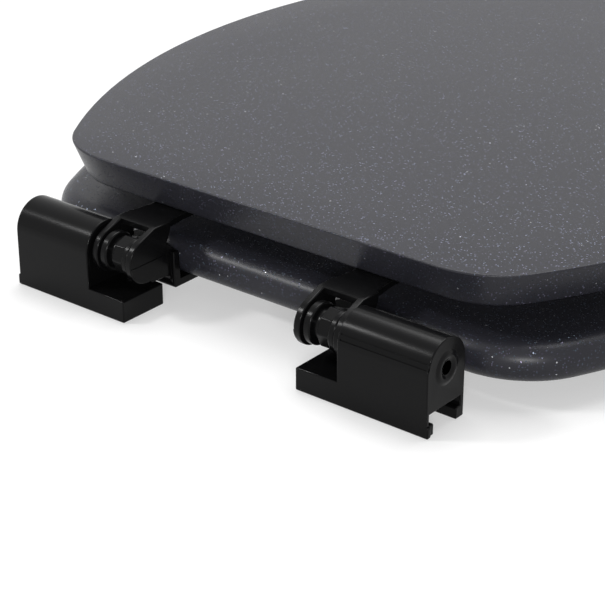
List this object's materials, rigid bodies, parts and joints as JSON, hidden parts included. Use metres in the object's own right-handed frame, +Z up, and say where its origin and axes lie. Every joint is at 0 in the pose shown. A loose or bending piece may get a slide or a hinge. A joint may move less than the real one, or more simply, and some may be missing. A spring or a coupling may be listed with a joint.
{
  "type": "toilet seat with soft-close hinges",
  "caption": "Dark speckled lacquered wooden toilet seat with a bevelled lid and ring on black soft-close hinge blocks that slide onto fixing plates on the bowl.",
  "frame": {"origin": "middle of the footprint, from the hinge blocks' rear faces to the ring's front tip, at the level of the bowl's top", "axes": "+Z up, -Y towards the front of the seat, +X to the left of someone sitting on it"},
  "size_m": [0.364, 0.447, 0.056],
  "materials": {
    "lacquered_wood": "moulded wood under a satin dark grey lacquer with fine pale flecks",
    "hinge_plastic": "black moulded plastic, satin to gloss",
    "pin_plastic": "black acetal pin",
    "damper_case": "grey damper cartridge",
    "screw_steel": "plated steel",
    "black_screw": "blackened steel",
    "buffer_rubber": "matt black rubber"
  },
  "bodies": {
    "hinge_blocks": {"left_housing": "hinge_plastic", "right_housing": "hinge_plastic", "left_carrier": "hinge_plastic", "right_carrier": "hinge_plastic", "left_damper": "damper_case", "right_damper": "damper_case", "left_end_screw": "black_screw", "right_end_screw": "black_screw"},
    "seat": {"seat_ring": "lacquered_wood", "left_seat_leaf": "hinge_plastic", "right_seat_leaf": "hinge_plastic", "left_seat_screws": "screw_steel", "right_seat_screws": "screw_steel", "right_pin": "pin_plastic", "front_left_foot": "buffer_rubber", "front_right_foot": "buffer_rubber", "rear_left_foot": "buffer_rubber", "rear_right_foot": "buffer_rubber"},
    "lid": {"lid": "lacquered_wood", "left_lid_leaf": "hinge_plastic", "right_lid_leaf": "hinge_plastic", "left_lid_screws": "screw_steel", "right_lid_screws": "screw_steel", "left_pin": "pin_plastic", "left_lid_buffer": "buffer_rubber", "right_lid_buffer": "buffer_rubber"}
  },
  "joints": [
    {"name": "seat_hinge", "type": "hinge", "parent": "hinge_blocks", "child": "seat", "pos_m": [0, 0.21077, 0.0263], "axis": [-1, 0, 0], "range_deg": [0, 95]},
    {"name": "lid_hinge", "type": "hinge", "parent": "seat", "child": "lid", "pos_m": [0, 0.21077, 0.0263], "axis": [-1, 0, 0], "range_deg": [0, 95]}
  ]
}
